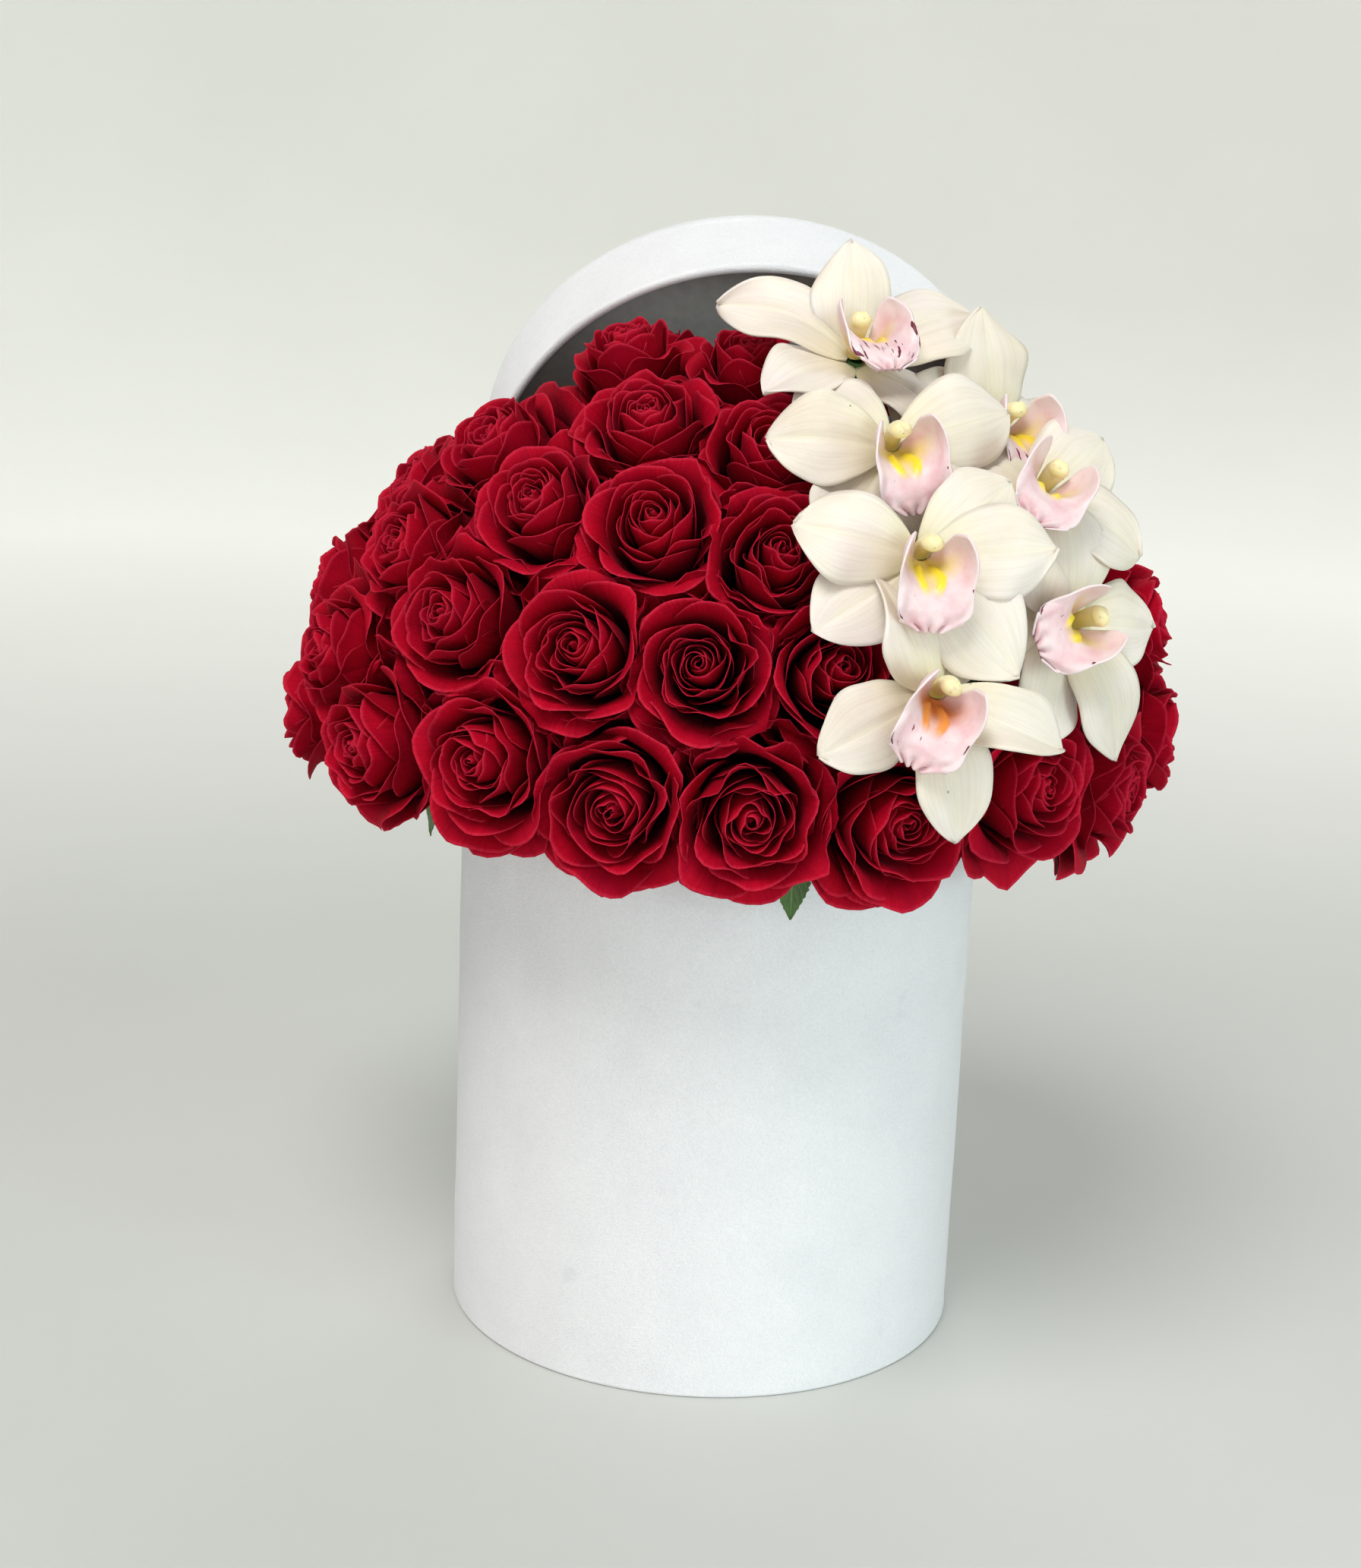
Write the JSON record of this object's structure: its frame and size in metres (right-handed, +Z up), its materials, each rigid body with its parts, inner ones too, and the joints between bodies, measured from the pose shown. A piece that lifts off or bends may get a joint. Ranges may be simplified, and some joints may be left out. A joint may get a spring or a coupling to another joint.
{
  "type": "flower box",
  "caption": "Round velvet-covered hat box holding a foam insert with a dome of red roses and white orchids, its lid propped open behind.",
  "frame": {"origin": "centre of the flat underside of the box", "axes": "+Z up along the box's axis; the front of the arrangement, where the lid opens, faces -Y; +X is to the right seen from the front"},
  "size_m": [0.3376, 0.3044, 0.4258],
  "materials": {
    "white_velvet": "short soft white velvet nap",
    "cardboard": "grey-brown rolled board",
    "lining_paper": "plain matt lining paper",
    "liner_plastic": "thin translucent waterproof plastic",
    "damp_foam": "open-cell floral foam, damp",
    "soaked_foam": "open-cell floral foam, soaked with water",
    "bamboo": "round bamboo stick",
    "hot_glue": "set hot-melt glue",
    "green_stem": "fresh green stem",
    "leaf": "smooth dark green leaf",
    "rose_petal": "velvety crimson petals",
    "orchid_petal": "waxy cream-white petals"
  },
  "bodies": {
    "box": {"box_base": "cardboard", "box_floor_lining": "lining_paper", "box_inner_lining": "lining_paper", "box_underside_velvet": "white_velvet", "box_velvet_wrap": "white_velvet", "box_wall": "cardboard"},
    "insert": {"foam_block": "damp_foam", "foam_dome": "soaked_foam", "orchid_1": "orchid_petal", "orchid_2": "orchid_petal", "orchid_3": "orchid_petal", "orchid_4": "orchid_petal", "orchid_5": "orchid_petal", "orchid_6": "orchid_petal", "orchid_7": "orchid_petal", "orchid_pedicels": "green_stem", "rose_01": "rose_petal", "rose_02": "rose_petal", "rose_03": "rose_petal", "rose_04": "rose_petal", "rose_05": "rose_petal", "rose_06": "rose_petal", "rose_07": "rose_petal", "rose_08": "rose_petal", "rose_09": "rose_petal", "rose_10": "rose_petal", "rose_11": "rose_petal", "rose_12": "rose_petal", "rose_13": "rose_petal", "rose_14": "rose_petal", "rose_15": "rose_petal", "rose_16": "rose_petal", "rose_17": "rose_petal", "rose_18": "rose_petal", "rose_19": "rose_petal", "rose_20": "rose_petal", "rose_21": "rose_petal", "rose_22": "rose_petal", "rose_23": "rose_petal", "rose_24": "rose_petal", "rose_hips": "green_stem", "rose_leaves": "leaf", "rose_stems": "green_stem", "roses_left_high": "rose_petal", "roses_left_low": "rose_petal", "roses_left_middle": "rose_petal", "roses_right_high": "rose_petal", "roses_right_low": "rose_petal", "roses_right_middle": "rose_petal", "roses_under_lid": "rose_petal", "waterproof_liner": "liner_plastic"},
    "lid": {"lid_lining": "lining_paper", "lid_skewers": "bamboo", "lid_top_board": "cardboard", "lid_top_velvet": "white_velvet", "lid_velvet_wrap": "white_velvet", "lid_wall": "cardboard", "skewer_glue": "hot_glue"}
  },
  "joints": [
    {"name": "insert_lift", "type": "slide", "parent": "box", "child": "insert", "axis": [0, 0, 1], "range_m": [0, 0.22]},
    {"name": "lid_pull_off", "type": "slide", "parent": "insert", "child": "lid", "axis": [-0.0787, 0.8992, 0.4305], "range_m": [0, 0.08]}
  ]
}
